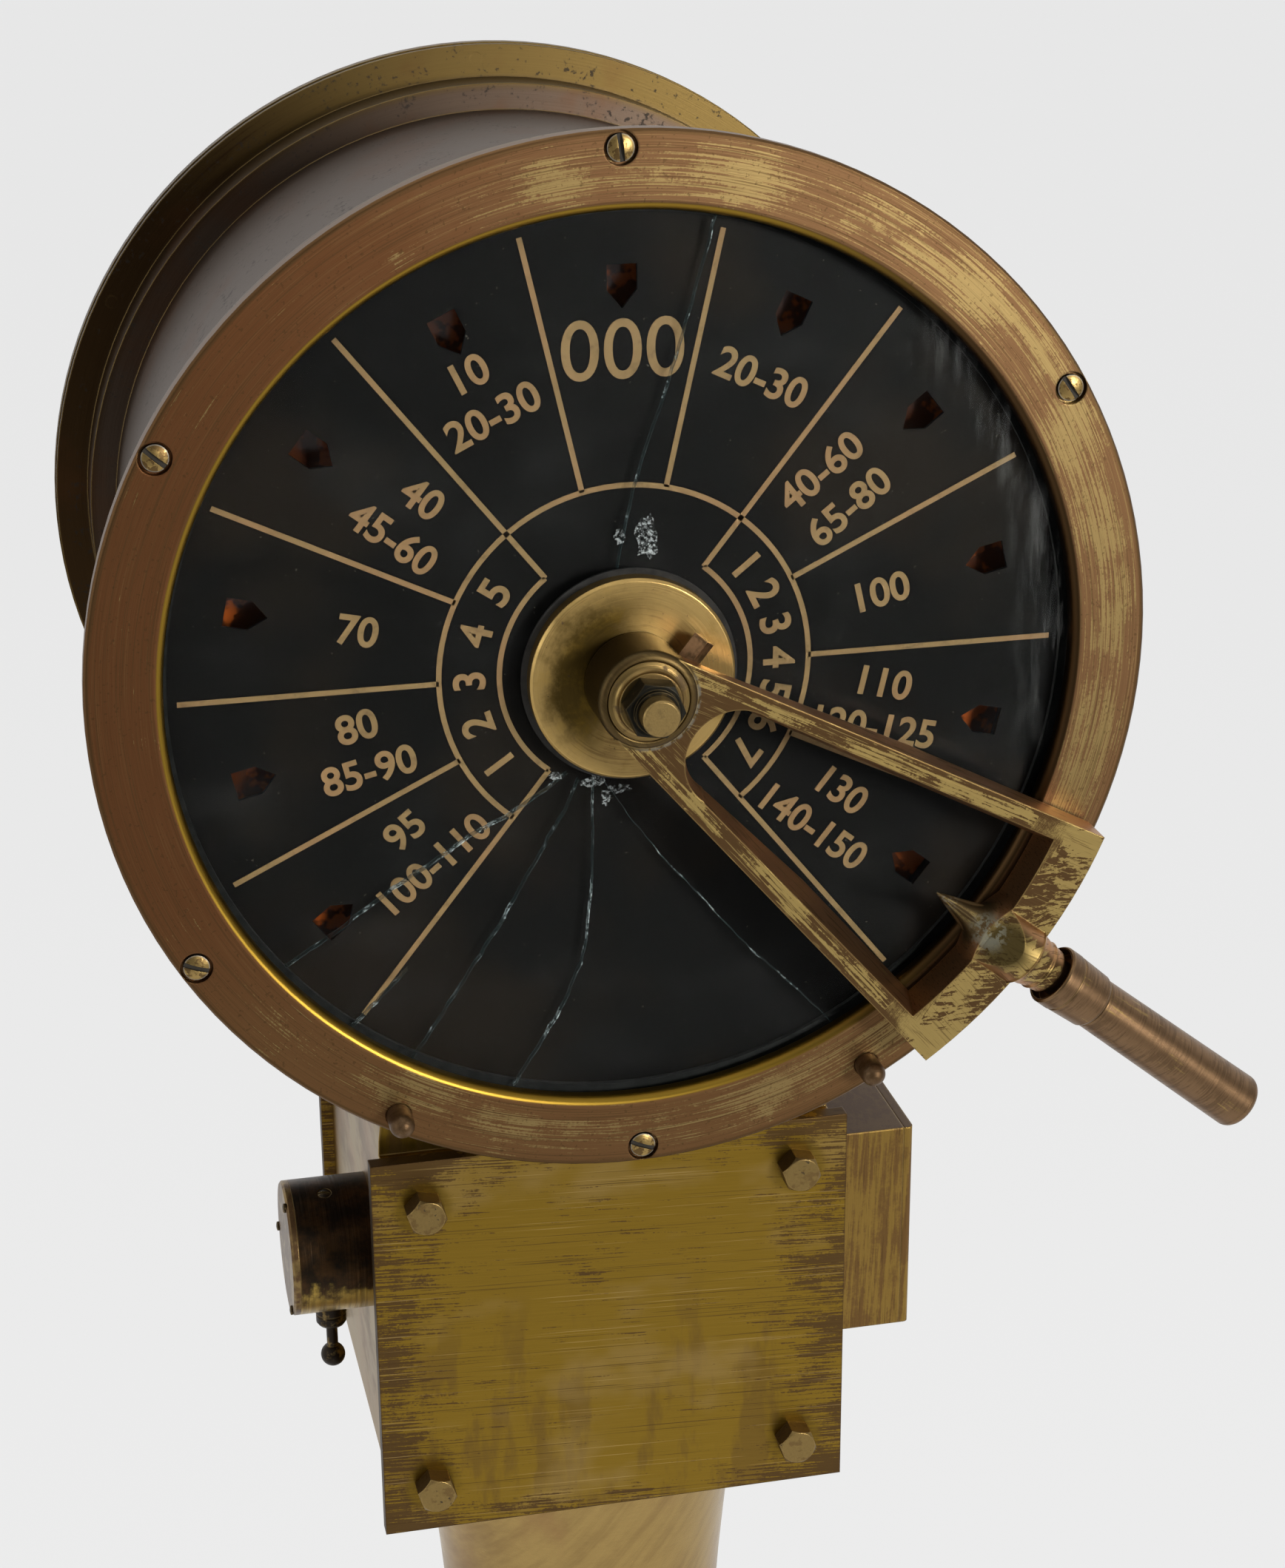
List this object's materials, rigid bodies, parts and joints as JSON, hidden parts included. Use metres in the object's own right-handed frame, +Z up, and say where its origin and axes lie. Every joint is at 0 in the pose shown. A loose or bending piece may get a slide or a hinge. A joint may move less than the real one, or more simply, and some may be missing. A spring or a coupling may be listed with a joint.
{
  "type": "engine order telegraph",
  "caption": "Pedestal engine order telegraph: round glazed dial with lamp windows, swinging wishbone lever with pointer and grip, bolted casing, switch, terminal box and column.",
  "frame": {"origin": "centre of the deck bolt circle on the underside of the base flange", "axes": "+Z up along the column, -Y towards the operator, +X to the operator's right"},
  "size_m": [0.43, 0.33, 1.17],
  "materials": {
    "aged_brass": "worn satin with brown stains",
    "dark_brass": "brown patina, rubbed bright on edges",
    "brown_copper": "handled satin",
    "bronze": "machined",
    "steel": "machined",
    "black_enamel": "satin black",
    "clear_glass": "clear, cracked",
    "lamp_glass": "clear",
    "orange_filter": "translucent orange",
    "rubber": "matte",
    "brown_plastic": "moulded"
  },
  "bodies": {
    "pedestal": {"casing": "aged_brass", "front_cover_plate": "aged_brass", "rear_cover_plate": "aged_brass", "front_bezel": "aged_brass", "column": "aged_brass", "rear_cover": "aged_brass", "gong": "aged_brass", "hub_disc": "aged_brass", "bezel_screws": "aged_brass", "rear_bezel_screws": "aged_brass", "lid_screws": "aged_brass", "terminals": "aged_brass", "cable_glands": "aged_brass", "base_flange": "dark_brass", "drum_shell": "dark_brass", "rear_bezel": "dark_brass", "front_cover_bolts": "dark_brass", "rear_cover_bolts": "dark_brass", "stop_pins": "dark_brass", "front_spider": "dark_brass", "rear_bridge": "dark_brass", "switch_housing": "dark_brass", "housing_cap": "dark_brass", "cap_screws": "dark_brass", "switch_bush": "dark_brass", "terminal_box": "dark_brass", "terminal_box_lid": "dark_brass", "striker_coil": "brown_copper", "front_bush": "bronze", "rear_bush": "bronze", "column_bolts": "steel", "saddle_bolts": "steel", "frame_pillars": "steel", "detent_spring": "steel", "dial_plate": "black_enamel", "lamp_housing": "black_enamel", "front_glass": "clear_glass", "lamps": "lamp_glass", "window_filter": "orange_filter", "glass_seal": "rubber", "hub_seal": "rubber", "lamp_sockets": "brown_plastic", "terminal_board": "brown_plastic", "brush_block": "brown_plastic"},
    "lever": {"lever_frame": "aged_brass", "main_shaft": "steel", "lever_cotter": "dark_brass", "lever_washer": "dark_brass", "lever_nut": "dark_brass", "grip_collar": "brown_copper", "handle_grip": "brown_copper", "drive_gear": "aged_brass", "detent_wheel": "steel"},
    "contact_unit": {"contact_drum": "brown_plastic", "contact_pinion": "aged_brass", "contact_shaft": "steel"},
    "detent_arm": {"detent_arm": "steel"},
    "detent_roller": {"detent_roller": "bronze"},
    "bell_hammer": {"bell_hammer": "steel"},
    "toggle_lever": {"toggle_lever": "dark_brass"}
  },
  "joints": [
    {"name": "lever_swing", "type": "hinge", "parent": "pedestal", "child": "lever", "pos_m": [0, -0.12, 0.98], "axis": [0, -1, 0], "range_deg": [-4.2, 261.3]},
    {"name": "contact_drum_spin", "type": "hinge", "parent": "pedestal", "child": "contact_unit", "pos_m": [0, -0.12, 0.908], "axis": [0, -1, 0], "range_deg": [-262, 5]},
    {"name": "detent_arm_swing", "type": "hinge", "parent": "pedestal", "child": "detent_arm", "pos_m": [-0.078, -0.12, 1.025], "axis": [0, -1, 0], "range_deg": [0, 4], "stiffness_Nm_per_rad": 1, "springref_deg": -17.19, "deforming": ["detent_spring"]},
    {"name": "detent_roller_spin", "type": "hinge", "parent": "detent_arm", "child": "detent_roller", "pos_m": [0, -0.12, 1.0354], "axis": [0, -1, 0], "continuous": true},
    {"name": "bell_hammer_swing", "type": "hinge", "parent": "pedestal", "child": "bell_hammer", "pos_m": [0.0294, -0.12, 0.997], "axis": [0, -1, 0], "range_deg": [0, 1.7], "stiffness_Nm_per_rad": 0.5, "springref_deg": -8.59},
    {"name": "toggle_swing", "type": "hinge", "parent": "pedestal", "child": "toggle_lever", "pos_m": [-0.107, -0.022, 0.6885], "axis": [0, 1, 0], "range_deg": [-12, 12]}
  ],
  "couplings": [
    {"joint": "contact_drum_spin", "follows": "lever_swing", "ratio": -1}
  ]
}
